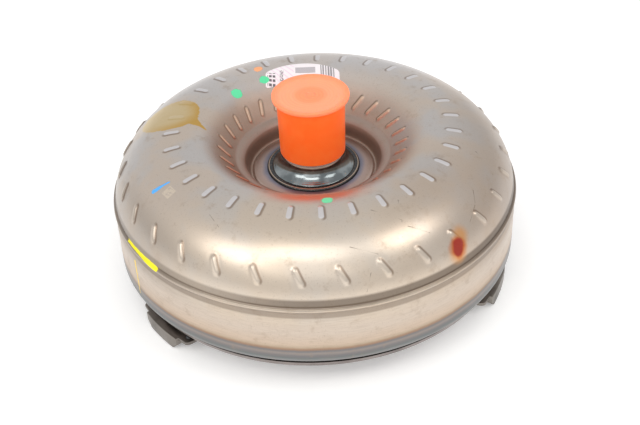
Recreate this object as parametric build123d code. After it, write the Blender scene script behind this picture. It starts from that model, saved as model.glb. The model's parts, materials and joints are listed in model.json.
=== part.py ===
from build123d import *
import math
import os

# A lock-up torque converter, standing on its three mounting lugs with the hub upwards.
# Millimetres. The origin is on the floor plane, on the axis of rotation, and +Z runs up
# through the hub. A "section" is drawn as (radius, height) pairs and turned about Z.

# ---- Driving dimensions ------------------------------------------------------------

FIT = 0.06            # radial clearance of a running fit
BRAZE_GAP = 0.05      # film between brazed or seated pieces
SHELL_WALL = 3.0      # thickness of the drawn impeller shell

# impeller shell, outside surface
CREST_R = 88.0        # radius at which the dome is highest
CREST_Z = 111.4
DOME_Z = 64.0         # height where the outer dome would turn vertical
DOME_HALF_WIDTH = 51.4
INNER_ROLL_R = 31.0   # radius of the roll from the crest into the funnel
CONE_ANGLE = 42.5     # slope of the funnel wall, degrees
SHOULDER_R = 53.6     # edge of the shoulder below the funnel
WELL_CORNER_R = 44.0  # corner at the foot of the well
WELL_Z = 79.2         # floor of the well at its corner
BAND_R = 139.9        # cylindrical skirt
RIDGE_R = 140.4       # rolled ridge above the skirt
RIDGE_Z = 68.4
SKIRT_Z = 25.7        # lower edge of the skirt
SKIRT_BORE_R = 136.9

# stamped marks over the blade tabs
BLADE_PITCH_COUNT = 31
CREST_MARK_R = 96.0
RIM_MARK_R = 132.0
FUNNEL_MARK_R = 61.0

# label, an arched sheet that follows the crest behind the hub
LABEL_X = -5.4
LABEL_WIDTH = 54.2
LABEL_TOP_Y = 86.8
LABEL_CURVE_R = 40.0
LABEL_INNER_R = 70.2

# hub
HUB_FOOT_R = 28.45
JOURNAL_R = 20.5
HUB_BORE_R = 17.5
HUB_BOTTOM_Z = 76.5
HUB_TOP_Z = 134.0

# torus
IMPELLER_EDGE_Z = 72.0
TURBINE_EDGE_Z = 69.0
TURBINE_BLADE_COUNT = 29
CORE_R = 98.5
CORE_HALF_WIDTH = 24.0
CORE_HEIGHT = 17.0
TURBINE_R = 92.0
TURBINE_Z = 66.0
TURBINE_HALF_WIDTH = 39.0
TURBINE_DEPTH = 30.0
TURBINE_WALL = 2.5
BLADE_THICKNESS = 1.0
CORE_WALL = 1.2

# front cover
COVER_SKIRT_R = 136.7
COVER_RIM_R = 135.2
COVER_BORE_R = 132.2
COVER_TOP_Z = 62.0
RIM_UNDERSIDE_Z = 14.0
FRICTION_FACE_Z = 18.0
DISH_UNDERSIDE_Z = 7.0
DISH_FLOOR_Z = 11.0
PILOT_R = 17.0
PILOT_END_Z = 1.5

# lugs
LUG_ANGLES = (97.5, 217.5, 337.5)
LUG_PLATE_Z = 8.4
LUG_PLATE_THICKNESS = 2.4
LUG_PLATE_R = 135.2
LUG_WALL_R = 137.2
LUG_WALL_BOTTOM_Z = 0.5
LUG_HALF_SPAN = 18.0
BOLT_CIRCLE_R = 122.0
THREAD_R = 5.0

# lock-up clutch and damper
LINING_R = (99.0, 126.0)
PISTON_Z = 19.6
PISTON_THICKNESS = 3.0
PISTON_R = 128.2
SPRING_COUNT = 10
SPRING_PITCH_R = 115.0
SPRING_R = 6.8
SPRING_WIRE = 2.6
SPRING_LENGTH = 48.5
SPRING_AXIS_Z = 33.2
SLEEVE_R = 19.0       # outside of the turbine hub's sleeve

# stator and its one-way clutch
STATOR_BORE_R = 38.0
STATOR_LOW_Z = 60.0
STATOR_HIGH_Z = 82.0
STATOR_BLADE_COUNT = 19
RACE_R = 27.0
ROLLER_R = 3.0
ROLLER_COUNT = 10
CLUTCH_Z = (60.2, 72.3)

# thrust bearings: lower face of the lower washer, and the washers' radii
BEARING_R = (21.5, 31.0)
COVER_BEARING_Z = 11.0
STATOR_BEARING_Z = 56.0
HUB_BEARING_Z = 72.5
NEEDLE_COUNT = 24

# transport cap
CAP_BOTTOM_Z = 94.0
CAP_TOP_Z = 137.9
CAP_BODY_R = 23.1
CAP_FLANGE_R = 26.5


# ---- Helpers -----------------------------------------------------------------------

def section(corners):
    """A flat face in the XZ plane from (radius, height[, fillet]) corners."""
    points = [corner[:2] for corner in corners]
    fillets = [corner[2] if len(corner) > 2 else 0 for corner in corners]
    return Plane.XZ * make_face(FilletPolyline(*points, radius=fillets, close=True))


def lathe(*corners):
    """A solid of revolution about Z from (radius, height[, fillet]) corners."""
    return revolve(section(corners), Axis.Z)


def washer(r_in, r_out, z_low, z_high):
    """A flat ring."""
    flat = Circle(r_out) - Circle(r_in)
    return Pos(0, 0, z_low) * extrude(flat, z_high - z_low)


def around(piece, count, first=0.0):
    """Copies of a piece, evenly spaced about Z, the first one turned by an angle."""
    step = 360 / count
    return [Rot(0, 0, first + i * step) * piece for i in range(count)]


def joined(pieces):
    """One solid from several that overlap."""
    first, *rest = pieces
    return first + rest


def spline_tool(tip_r, root_r, teeth, height):
    """The cutter for an internal spline: a bore with evenly spaced key slots."""
    width = math.pi * tip_r / teeth
    slot = Pos((tip_r + root_r) / 2 - 0.5, 0) * Rectangle(root_r - tip_r + 1.0, width)
    outline = Circle(tip_r) + around(slot, teeth)
    return extrude(outline, height)


def save(node, pieces):
    """Write one node, a solid or a group of separate solids, to its own STEP file."""
    group = list(pieces) if isinstance(pieces, (list, tuple)) else [pieces]
    shape = group[0] if len(group) == 1 else Compound(children=group)
    export_step(shape, os.path.join("parts", node + ".step"))


# ---- Impeller ----------------------------------------------------------------------

def dome_lines(inset):
    """The funnel wall, the roll over the crest and the outer dome, from inside to out.

    An inset of 0 is the outside surface and a positive inset is inside the metal.
    """
    roll_z = CREST_Z - INNER_ROLL_R
    outer = EllipticalCenterArc(
        (CREST_R, DOME_Z), DOME_HALF_WIDTH - inset, CREST_Z - DOME_Z - inset, 8.5, arc_size=81.5
    )
    roll = CenterArc((CREST_R, roll_z), INNER_ROLL_R - inset, 90, CONE_ANGLE)
    slope = math.radians(CONE_ANGLE)
    run = (roll @ 1).X - SHOULDER_R - inset * math.sin(slope)
    foot = (roll @ 1) - Vector(run, run * math.tan(slope))
    return [outer, roll, Line(roll @ 1, foot)]


def height_on_dome(radius):
    """Height of the outside surface of the dome at a radius."""
    if radius > CREST_R:
        share = (radius - CREST_R) / DOME_HALF_WIDTH
        return DOME_Z + (CREST_Z - DOME_Z) * math.sqrt(1 - share**2)
    roll_z = CREST_Z - INNER_ROLL_R
    slope = math.radians(CONE_ANGLE)
    foot = CREST_R - INNER_ROLL_R * math.sin(slope)
    if radius > foot:
        return roll_z + math.sqrt(INNER_ROLL_R**2 - (CREST_R - radius) ** 2)
    return roll_z + INNER_ROLL_R * math.cos(slope) - (foot - radius) * math.tan(slope)


def slope_on_dome(radius):
    """Tilt of the outside surface at a radius, in degrees, positive falling outwards."""
    step = 0.05
    rise = height_on_dome(radius + step) - height_on_dome(radius - step)
    return math.degrees(math.atan2(-rise, 2 * step))


def stamped_mark(radius, length, width, proud, skew):
    """A rounded ridge pressed out of the shell over one blade tab."""
    bar = extrude(SlotOverall(length, width), proud + 1.5)
    bar = fillet(bar.faces().sort_by(Axis.Z)[-1].edges(), proud * 0.8)
    bar = Rot(0, slope_on_dome(radius), 0) * Rot(0, 0, skew) * Pos(0, 0, -1.5) * bar
    return Pos(radius, 0, height_on_dome(radius)) * bar


def impeller_shell():
    """The drawn steel shell: well, funnel, dome, ridge and skirt."""
    outside = dome_lines(0)
    inside = dome_lines(SHELL_WALL)
    well_outside = FilletPolyline(
        outside[-1] @ 1,
        (48.2, 90.2),
        (WELL_CORNER_R, WELL_Z),
        (HUB_FOOT_R + BRAZE_GAP, 80.6),
        radius=[3.0, 2.0],
    )
    well_inside = FilletPolyline(
        inside[-1] @ 1,
        (50.6, 87.2),
        (46.4, WELL_Z - SHELL_WALL),
        (HUB_FOOT_R + BRAZE_GAP, 77.6),
        radius=[1.0, 3.0],
    )
    dome_foot = outside[0] @ 0
    skirt = FilletPolyline(
        dome_foot,
        (138.7, RIDGE_Z + 1.6),
        (RIDGE_R, RIDGE_Z + 0.9),
        (RIDGE_R, RIDGE_Z - 0.9),
        (139.0, RIDGE_Z - 2.4),
        (139.0, RIDGE_Z - 6.0),
        (BAND_R, RIDGE_Z - 8.6),
        (BAND_R, SKIRT_Z),
        (SKIRT_BORE_R, SKIRT_Z),
        (SKIRT_BORE_R, DOME_Z + 1.0),
        inside[0] @ 0,
        radius=[0.6, 0.8, 0.8, 1.0, 2.0, 2.0, 1.4, 0.3, 2.0],
    )
    bridge = Line(well_outside @ 1, well_inside @ 1)
    outline = outside + inside + [well_outside, well_inside, skirt, bridge]
    shell = revolve(Plane.XZ * make_face(outline), Axis.Z)
    crest_mark = stamped_mark(CREST_MARK_R, 12.0, 4.4, 0.6, 0)
    rim_mark = stamped_mark(RIM_MARK_R, 12.8, 4.0, 1.1, 28)
    funnel_mark = stamped_mark(FUNNEL_MARK_R, 12.6, 2.9, 0.9, -20)
    marks = around(crest_mark, BLADE_PITCH_COUNT, 5.0)
    marks += around(rim_mark, BLADE_PITCH_COUNT, 9.3)
    marks += around(funnel_mark, BLADE_PITCH_COUNT, 9.9)
    return shell + marks


def torus_blade(flow_section, start, end, bow, z_low, z_high):
    """One sheet blade: a curved strip, cut to the flow section it fills."""
    strip = trace(RadiusArc(start, end, bow), BLADE_THICKNESS)
    strip = Pos(0, 0, z_low) * extrude(strip, z_high - z_low)
    wedge = revolve(Rot(0, 0, -60) * flow_section, Axis.Z, 120)
    return wedge & strip


def impeller_blade():
    """One impeller blade, from the stator's exit to the rim."""
    dome = dome_lines(SHELL_WALL + BRAZE_GAP)
    rim = dome[0] @ 0
    edge = Polyline(rim, (56, rim.Y), (56, 84), dome[-1] @ 1)
    below = Pos(CORE_R, IMPELLER_EDGE_Z - 5) * Rectangle(100, 10)
    core = Pos(CORE_R, IMPELLER_EDGE_Z) * Ellipse(
        CORE_HALF_WIDTH + BRAZE_GAP, CORE_HEIGHT + BRAZE_GAP
    )
    inlet = make_face(Polyline((45, 60), (45, 96), (57, 96), (57, 86.5), (79, 83), (79, 60), close=True))
    flow = make_face(dome + [edge]) - below - core - inlet
    return torus_blade(Plane.XZ * flow, (48, 0), (139, 8), 180, 60, CREST_Z)


def core_ring(centre_z, up):
    """The half-torus core that the inner edges of the blades are brazed to."""
    start = 0 if up else 180
    outer = EllipticalCenterArc(
        (CORE_R, centre_z), CORE_HALF_WIDTH, CORE_HEIGHT, start, arc_size=180
    )
    inner = EllipticalCenterArc(
        (CORE_R, centre_z), CORE_HALF_WIDTH - CORE_WALL, CORE_HEIGHT - CORE_WALL, start, arc_size=180
    )
    ends = [Line(outer @ 0, inner @ 0), Line(outer @ 1, inner @ 1)]
    return revolve(Plane.XZ * make_face([outer, inner] + ends), Axis.Z)


def impeller_hub():
    """The hub: a foot welded in the shell, a flared neck and a ground pump journal."""
    neck = CenterArc((30.0, 91.6), 9.4, 180, 73)
    foot = Polyline(
        neck @ 1,
        (HUB_FOOT_R - 0.5, (neck @ 1).Y),
        (HUB_FOOT_R, (neck @ 1).Y - 0.6),
        (HUB_FOOT_R, HUB_BOTTOM_Z),
        (HUB_BORE_R, HUB_BOTTOM_Z),
        (HUB_BORE_R, HUB_TOP_Z),
        (JOURNAL_R - 1.2, HUB_TOP_Z),
        (JOURNAL_R, HUB_TOP_Z - 1.2),
        (JOURNAL_R, 92.2),
        neck @ 0,
    )
    turned = revolve(Plane.XZ * make_face([neck, foot]), Axis.Z)
    drive_slot = Pos(0, 0, HUB_TOP_Z - 4) * Box(2 * JOURNAL_R + 4, 9, 8.2)
    return turned - drive_slot


def hub_weld():
    """The weld bead between the hub's foot and the floor of the well."""
    return lathe(
        (HUB_FOOT_R + BRAZE_GAP, 80.65),
        (32.4, 80.4),
        (31.6, 81.7, 0.8),
        (HUB_FOOT_R + 1.0, 82.0, 0.6),
        (HUB_FOOT_R + BRAZE_GAP, 81.6),
    )


def seam_weld():
    """The weld bead that closes the skirt against the front cover."""
    return lathe(
        (COVER_RIM_R + BRAZE_GAP, 24.75),
        (COVER_RIM_R + BRAZE_GAP, 23.6),
        (137.4, 24.6, 0.8),
        (137.9, SKIRT_Z - BRAZE_GAP),
        (COVER_SKIRT_R + BRAZE_GAP, SKIRT_Z - BRAZE_GAP),
        (COVER_SKIRT_R + BRAZE_GAP, 24.95 - BRAZE_GAP),
    )


def identity_label():
    """A paper label lying on the dome behind the hub."""
    skin = revolve(Plane.XZ * make_face(dome_skin(0.03, 0.18)), Axis.Z)
    arch = Pos(LABEL_X, LABEL_TOP_Y - LABEL_CURVE_R) * Circle(LABEL_CURVE_R)
    arch = arch & Pos(LABEL_X, 74) * Rectangle(LABEL_WIDTH, 30)
    arch = arch - Circle(LABEL_INNER_R)
    arch = fillet(arch.vertices(), 2)
    return skin & Pos(0, 0, 90) * extrude(arch, 40)


def dome_skin(low, high):
    """A closed outline that hugs the outside of the dome between two heights above it."""
    near = dome_lines(-low)
    far = dome_lines(-high)
    ends = [Line(near[0] @ 0, far[0] @ 0), Line(near[-1] @ 1, far[-1] @ 1)]
    return near + far + ends


# ---- Front cover and lugs ----------------------------------------------------------

def front_cover():
    """The drawn pot that carries the friction face, the pilot and the lugs."""
    return lathe(
        (COVER_SKIRT_R, COVER_TOP_Z, 0.6),
        (COVER_SKIRT_R, 24.95),
        (COVER_RIM_R, 24.75),
        (COVER_RIM_R, RIM_UNDERSIDE_Z, 6.0),
        (92.0, RIM_UNDERSIDE_Z, 6.0),
        (82.0, DISH_UNDERSIDE_Z, 6.0),
        (12.0, DISH_UNDERSIDE_Z),
        (12.0, DISH_FLOOR_Z),
        (80.0, DISH_FLOOR_Z, 5.0),
        (90.0, FRICTION_FACE_Z, 5.0),
        (COVER_BORE_R, FRICTION_FACE_Z, 2.5),
        (COVER_BORE_R, COVER_TOP_Z, 0.6),
    )


def pilot_boss():
    """The turned pilot that centres the converter in the crankshaft."""
    return lathe(
        (0, PILOT_END_Z),
        (PILOT_R, PILOT_END_Z, 1.2),
        (PILOT_R, DISH_UNDERSIDE_Z - BRAZE_GAP),
        (12.0 - BRAZE_GAP, DISH_UNDERSIDE_Z - BRAZE_GAP),
        (12.0 - BRAZE_GAP, DISH_FLOOR_Z - 0.5),
        (0, DISH_FLOOR_Z - 0.5),
    )


def mounting_lug():
    """One stamped lug on +X: a welded foot, a nut plate and an outer wall turned down."""
    plate_top = LUG_PLATE_Z + LUG_PLATE_THICKNESS
    foot = (104.0, 114.0)
    plate = Pos((112 + LUG_PLATE_R) / 2, 0) * RectangleRounded(LUG_PLATE_R - 112, 54, 7)
    plate = plate & Circle(LUG_PLATE_R)
    body = Pos(0, 0, LUG_PLATE_Z) * extrude(plate, LUG_PLATE_THICKNESS)
    foot_top = RIM_UNDERSIDE_Z - BRAZE_GAP
    step = Pos(sum(foot) / 2, 0, (LUG_PLATE_Z + foot_top) / 2)
    body += step * Box(foot[1] - foot[0], 40, foot_top - LUG_PLATE_Z)
    wall_height = plate_top - LUG_WALL_BOTTOM_Z
    wall = Circle(LUG_WALL_R) - Circle(LUG_WALL_R - LUG_PLATE_THICKNESS)
    wall = wall & (Pos(LUG_WALL_R - 4, 0) * RectangleRounded(14, 2 * LUG_HALF_SPAN, 3))
    body += Pos(0, 0, LUG_WALL_BOTTOM_Z) * extrude(wall, wall_height)
    for side in (-1, 1):
        leg = Pos(130.6, side * (LUG_HALF_SPAN - 1.2), LUG_WALL_BOTTOM_Z + wall_height / 2)
        body += leg * Box(8, LUG_PLATE_THICKNESS, wall_height)
        corner = Pos(136, side * (LUG_HALF_SPAN + 1.0), LUG_WALL_BOTTOM_Z) * Rot(side * 40, 0, 0)
        body -= corner * Box(22, 8, 8)
    bolt_hole = Pos(BOLT_CIRCLE_R, 0, 0) * Cylinder(THREAD_R, 40)
    return body - bolt_hole


def lug_nut():
    """The threaded weld nut under a lug's plate, with the face a flexplate bolts to."""
    blank = extrude(RegularPolygon(9.5, 6, major_radius=False), LUG_PLATE_Z - BRAZE_GAP)
    return Pos(BOLT_CIRCLE_R, 0, 0) * (blank - Cylinder(THREAD_R, 40))


def lug_weld():
    """The plug weld that shows on a lug's plate, one at each end."""
    dome = Sphere(1.9) & Pos(0, 0, 2) * Box(6, 6, 4)
    return Pos(128.6, 22.5, LUG_PLATE_Z + LUG_PLATE_THICKNESS + BRAZE_GAP) * dome


def balance_weight():
    """A small plate welded under the cover to balance the converter."""
    plate = extrude(RectangleRounded(10, 26, 2), 2.5)
    return Pos(121.5, 0, RIM_UNDERSIDE_Z - 2.5 - BRAZE_GAP) * plate


# ---- Turbine -----------------------------------------------------------------------

def turbine_lines(inset):
    """The turbine shell's lower surface from the rim lip to the sloping wall."""
    bowl = EllipticalCenterArc(
        (TURBINE_R, TURBINE_Z), TURBINE_HALF_WIDTH - inset, TURBINE_DEPTH - inset, 232, arc_size=128
    )
    lip = Line(bowl @ 1, (TURBINE_R + TURBINE_HALF_WIDTH - inset, TURBINE_EDGE_Z - 0.6))
    return [bowl, lip]


def turbine_shell():
    """The drawn bowl that carries the turbine blades, with its riveted inner flange."""
    low = turbine_lines(0)
    high = turbine_lines(TURBINE_WALL)
    flange_low = FilletPolyline(low[0] @ 0, (54.5, 50.85), (27.2, 50.85), radius=[4.0])
    flange_high = FilletPolyline(high[0] @ 0, (56.2, 53.35), (27.2, 53.35), radius=[4.0])
    ends = [Line(low[1] @ 1, high[1] @ 1), Line(flange_low @ 1, flange_high @ 1)]
    outline = low + high + [flange_low, flange_high] + ends
    shell = revolve(Plane.XZ * make_face(outline), Axis.Z)
    rivet_hole = Pos(37, 0, 52) * Cylinder(2.5 + FIT, 10)
    return shell - around(rivet_hole, 8)


def turbine_blade():
    """One turbine blade, from the rim to the stator's inlet."""
    bowl = turbine_lines(TURBINE_WALL + BRAZE_GAP)
    top = Polyline(bowl[1] @ 1, (58, TURBINE_EDGE_Z - 0.6), (58, 54), bowl[0] @ 0)
    core = Pos(CORE_R, TURBINE_EDGE_Z) * Ellipse(
        CORE_HALF_WIDTH + BRAZE_GAP, CORE_HEIGHT + BRAZE_GAP
    )
    outlet = make_face(Polyline((45, 40), (45, 72), (79, 72), (79, 58), (60, 57), (58, 40), close=True))
    flow = make_face(bowl + [top]) - core - outlet
    return torus_blade(Plane.XZ * flow, (48, 0), (133, -14), 90, 30, 72)


def turbine_hub():
    """The splined hub: sleeve for the piston, flange for the bowl, seat for a bearing."""
    body = lathe(
        (10.0, 15.0),
        (30.5, 15.0),
        (30.5, 16.6, 0.5),
        (SLEEVE_R, 17.4, 1.0),
        (SLEEVE_R, 21.4),
        (SLEEVE_R - 1.8, 21.4),
        (SLEEVE_R - 1.8, 23.4),
        (SLEEVE_R, 23.4),
        (SLEEVE_R, 47.8, 2.0),
        (44.0, 47.8),
        (44.0, 50.8),
        (27.0, 50.8),
        (27.0, 54.0),
        (31.0, 54.0),
        (31.0, 56.0),
        (10.0, 56.0),
    )
    rivet_hole = Pos(37, 0, 49) * Cylinder(2.5 + FIT, 8)
    bore = Pos(0, 0, 14) * spline_tool(11.5, 13.0, 24, 44)
    return body - around(rivet_hole, 8) - bore


def turbine_rivet():
    """A rivet through the bowl's flange and the hub's flange."""
    return Pos(37, 0, 0) * lathe(
        (0, 46.2),
        (3.6, 46.2, 1.0),
        (4.2, 47.75),
        (2.5, 47.75),
        (2.5, 53.4),
        (4.2, 53.4),
        (3.6, 55.0, 1.0),
        (0, 55.0),
    )


def driven_plate():
    """The ring welded under the bowl whose fingers reach down between the springs."""
    ring = lathe((93, 35.9), (93, 32.2), (107, 32.2), (107, 34.6), (97.5, 34.6), (97.5, 35.9))
    arm = Pos(112, 0, 33.4) * Box(14, 10, 2.4)
    finger = Pos(115.2, 0, 30.6) * Box(7.6, 10, 8)
    return joined([ring] + around(arm + finger, SPRING_COUNT))


# ---- Lock-up clutch and damper -----------------------------------------------------

def lockup_piston():
    """The clutch plate: hub tube, stepped disc, friction rim and ten driving fingers."""
    top = PISTON_Z + PISTON_THICKNESS
    disc = lathe(
        (SLEEVE_R + FIT, 18.2),
        (34.0, 18.2, 8.0),
        (50.0, 15.0, 8.0),
        (78.0, 15.0, 6.0),
        (94.0, PISTON_Z, 6.0),
        (PISTON_R, PISTON_Z),
        (PISTON_R, top),
        (93.0, top, 6.0),
        (77.0, 18.0, 6.0),
        (51.0, 18.0, 8.0),
        (35.0, 21.2, 8.0),
        (23.0, 21.2, 1.5),
        (23.0, 28.0),
        (SLEEVE_R + FIT, 28.0),
    )
    finger = Pos(126.9, 0, top + 3) * Box(2.4, 12, 7)
    return joined([disc] + around(finger, SPRING_COUNT, 18))


def friction_lining():
    """The paper friction ring bonded under the piston's rim."""
    return washer(*LINING_R, FRICTION_FACE_Z + 0.02, PISTON_Z - 0.02)


def damper_retainer():
    """The channel that holds the springs, notched for the piston's fingers."""
    floor_z = 24.2
    channel = lathe(
        (101.0, floor_z),
        (128.4, floor_z),
        (128.4, floor_z + 1.6),
        (125.2, floor_z + 1.6),
        (125.2, 39.0, 0.6),
        (123.6, 39.0, 0.6),
        (123.6, floor_z + 1.6),
        (104.5, floor_z + 1.6),
        (104.5, 31.0, 0.6),
        (102.9, 31.0, 0.6),
        (102.9, floor_z + 1.6),
        (101.0, floor_z + 1.6),
    )
    notch = Pos(127.5, 0, floor_z + 0.8) * Box(4.0, 12.5, 4)
    inner_stop = Pos(107.0, 0, 28.3) * Box(5.2, 16, 5.2)
    outer_stop = Pos(121.9, 0, 31.0) * Box(3.6, 16, 10.6)
    body = joined([channel] + around(inner_stop + outer_stop, SPRING_COUNT))
    return body - around(notch, SPRING_COUNT, 18)


def damper_spring():
    """One straight damper spring, lying along the ring at +X."""
    coil = Helix(
        pitch=(SPRING_LENGTH - SPRING_WIRE) / 7,
        height=SPRING_LENGTH - SPRING_WIRE,
        radius=SPRING_R - SPRING_WIRE / 2,
    )
    wire = Plane(coil @ 0, z_dir=coil % 0) * Circle(SPRING_WIRE / 2)
    spring = sweep(wire, path=coil)
    spring = Pos(0, 0, -(SPRING_LENGTH - SPRING_WIRE) / 2) * spring
    return Pos(SPRING_PITCH_R - 1.2, 0, SPRING_AXIS_Z) * Rot(90, 0, 0) * spring


# ---- Stator and one-way clutch -----------------------------------------------------

def stator_wheel():
    """The cast reaction wheel: hub, blades and shroud in one piece."""
    hub = lathe(
        (35.2, 58.6),
        (42.0, 58.6, 1.0),
        (42.0, 62.0),
        (50.8, 62.0),
        (50.8, STATOR_LOW_Z),
        (54.0, STATOR_LOW_Z, 1.0),
        (54.0, STATOR_HIGH_Z, 1.0),
        (50.8, STATOR_HIGH_Z),
        (50.8, 72.0),
        (42.0, 72.0),
        (42.0, 74.6, 1.0),
        (STATOR_BORE_R, 74.6),
        (STATOR_BORE_R, CLUTCH_Z[1] + 1.3),
        (39.3, CLUTCH_Z[1] + 1.3),
        (39.3, CLUTCH_Z[1] + 0.05),
        (STATOR_BORE_R, CLUTCH_Z[1] + 0.05),
        (STATOR_BORE_R, CLUTCH_Z[0] - 0.05),
        (35.2, CLUTCH_Z[0] - 0.05),
    )
    shroud = washer(72.0, 74.0, STATOR_LOW_Z + 4, STATOR_HIGH_Z - 8)
    middle = (STATOR_LOW_Z + STATOR_HIGH_Z) / 2
    half = (STATOR_HIGH_Z - STATOR_LOW_Z) / 2 - 2
    back = Spline((-4, -half), (3.6, -1), (2.4, half))
    face = Spline((-4, -half), (-1.2, -3), (2.0, half))
    foil = make_face([back, face, Line(back @ 1, face @ 1)])
    blade = Plane.YZ * foil
    blade = Pos(53.0, 0, middle) * extrude(blade, 20)
    band = washer(53.5, 73.0, STATOR_LOW_Z, STATOR_HIGH_Z)
    return joined([hub, shroud] + around(blade & band, STATOR_BLADE_COUNT))


def roller_place():
    """Radius of the rollers' centres, held between the race and the cam."""
    return RACE_R + ROLLER_R + FIT


def clutch_cam():
    """The outer race, with a ramped pocket for each roller and its spring."""
    low, high = CLUTCH_Z[0] + 1.3, CLUTCH_Z[1] - 1.3
    ring = washer(RACE_R + 1.2, STATOR_BORE_R - BRAZE_GAP, low, high)
    seat = Pos(roller_place(), 0) * Circle(ROLLER_R + FIT)
    free = Rot(0, 0, 16) * Pos(roller_place(), 0) * Circle(ROLLER_R + 0.9)
    ramp = make_hull((seat + free).edges())
    pocket = Pos(0, 0, low - 1) * extrude(ramp, high - low + 2)
    return ring - around(pocket, ROLLER_COUNT)


def clutch_roller():
    """One hardened roller."""
    length = CLUTCH_Z[1] - CLUTCH_Z[0] - 3.2
    middle = sum(CLUTCH_Z) / 2
    return Pos(roller_place(), 0, middle) * Cylinder(ROLLER_R, length)


def clutch_spring():
    """The folded strip that pushes a roller towards the narrow end of its pocket."""
    folds = [(0.0, -2.0), (1.1, 2.0), (2.2, -2.0), (3.3, 2.0), (4.4, -2.0)]
    strip = trace(Polyline(*[(across, along) for along, across in folds]), 0.3)
    strip = Pos(0, 0, CLUTCH_Z[0] + 3) * extrude(strip, 6)
    return Rot(0, 0, 8.0) * Pos(roller_place() + 0.6, 0, 0) * strip


def clutch_end_plates():
    """The two washers that close the clutch above and below the rollers."""
    radii = (RACE_R + FIT, STATOR_BORE_R - 0.1)
    low = washer(*radii, CLUTCH_Z[0], CLUTCH_Z[0] + 1.25)
    high = washer(*radii, CLUTCH_Z[1] - 1.25, CLUTCH_Z[1])
    return [low, high]


def snap_ring():
    """The open ring that keeps the clutch in the stator's bore."""
    ring = washer(36.4, 39.2, CLUTCH_Z[1] + 0.08, CLUTCH_Z[1] + 1.25)
    gap = Pos(38, 0, CLUTCH_Z[1]) * Box(8, 7, 6)
    return ring - gap


def inner_race():
    """The race that is splined to the fixed stator support."""
    body = washer(15.0, RACE_R, CLUTCH_Z[0] + 0.1, CLUTCH_Z[1] - 0.1)
    return body - Pos(0, 0, CLUTCH_Z[0] - 1) * spline_tool(16.5, 18.0, 34, 16)


# ---- Thrust bearings ---------------------------------------------------------------

def thrust_bearing(z_low):
    """Lower washer, cage, needles and upper washer of one flat needle bearing."""
    low_washer = washer(*BEARING_R, z_low, z_low + 0.95)
    high_washer = washer(*BEARING_R, z_low + 3.05, z_low + 4.0)
    middle = z_low + 2.0
    reach = (BEARING_R[0] + BEARING_R[1]) / 2
    needle = Pos(reach, 0, middle) * Rot(0, 90, 0) * Cylinder(1.0, 6.4)
    window = Pos(reach, 0, middle) * Box(6.6, 2.2, 4)
    cage = washer(BEARING_R[0] + 0.4, BEARING_R[1] - 0.4, middle - 0.7, middle + 0.7)
    cage = cage - around(window, NEEDLE_COUNT)
    return low_washer, cage, around(needle, NEEDLE_COUNT), high_washer


# ---- Transport cap -----------------------------------------------------------------

def transport_cap():
    """The moulded cap pushed over the hub to keep dirt and oil where they belong."""
    return lathe(
        (JOURNAL_R + 0.08, CAP_BOTTOM_Z),
        (CAP_BODY_R - 0.7, CAP_BOTTOM_Z, 0.9),
        (CAP_BODY_R, CAP_TOP_Z - 3.4),
        (CAP_FLANGE_R - 0.6, CAP_TOP_Z - 2.1, 0.4),
        (CAP_FLANGE_R, CAP_TOP_Z, 0.8),
        (22.5, CAP_TOP_Z, 0.3),
        (21.8, CAP_TOP_Z - 0.5, 0.3),
        (0, CAP_TOP_Z - 0.7),
        (0, HUB_TOP_Z + 1.2),
        (JOURNAL_R + 0.08, HUB_TOP_Z + 1.2, 1.0),
    )


# ---- Build -------------------------------------------------------------------------

os.makedirs("parts", exist_ok=True)

# housing
save("impeller_shell", impeller_shell())
save("impeller_blades", around(impeller_blade(), BLADE_PITCH_COUNT, 5.0))
save("impeller_core_ring", core_ring(IMPELLER_EDGE_Z, True))
save("impeller_hub", impeller_hub())
save("hub_weld", hub_weld())
save("seam_weld", seam_weld())
save("identity_label", identity_label())
save("front_cover", front_cover())
save("pilot_boss", pilot_boss())
lug = mounting_lug()
nut = lug_nut()
save("mounting_lugs", [Rot(0, 0, angle) * lug for angle in LUG_ANGLES])
save("lug_nuts", [Rot(0, 0, angle) * nut for angle in LUG_ANGLES])
bead = lug_weld()
ends = [bead, mirror(bead, Plane.XZ)]
save("lug_welds", [Rot(0, 0, angle) * end for angle in LUG_ANGLES for end in ends])
save("balance_weight", Rot(0, 0, 38) * balance_weight())

# turbine
save("turbine_shell", turbine_shell())
save("turbine_blades", around(turbine_blade(), TURBINE_BLADE_COUNT))
save("turbine_core_ring", core_ring(TURBINE_EDGE_Z, False))
save("turbine_hub", turbine_hub())
save("turbine_rivets", around(turbine_rivet(), 8))
save("driven_plate", driven_plate())
save("piston_seal", washer(SLEEVE_R - 1.6, SLEEVE_R, 21.5, 23.3))

# lock-up clutch and damper
save("lockup_piston", lockup_piston())
save("friction_lining", friction_lining())
save("damper_retainer", damper_retainer())
save("damper_springs", around(damper_spring(), SPRING_COUNT, 18))

# stator
save("stator_wheel", stator_wheel())
save("clutch_cam", clutch_cam())
save("clutch_rollers", around(clutch_roller(), ROLLER_COUNT))
save("clutch_springs", around(clutch_spring(), ROLLER_COUNT))
save("clutch_end_plates", clutch_end_plates())
save("stator_snap_ring", snap_ring())
save("clutch_inner_race", inner_race())

# thrust bearings
for place, height in (
    ("cover", COVER_BEARING_Z),
    ("stator", STATOR_BEARING_Z),
    ("hub", HUB_BEARING_Z),
):
    low_washer, cage, needles, high_washer = thrust_bearing(height)
    save(place + "_bearing_lower_washer", low_washer)
    save(place + "_bearing_cage", cage)
    save(place + "_bearing_needles", needles)
    save(place + "_bearing_upper_washer", high_washer)

# cap
save("transport_cap", transport_cap())
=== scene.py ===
# %% [markdown]
# A torque converter is a closed steel doughnut full of oil that joins an engine to an
# automatic gearbox. This lesson dresses a finished engineering model of one. The
# engineering model is loaded first and is never moved, because everything else is
# measured from it. All lengths are in metres.

import json
import math

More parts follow.
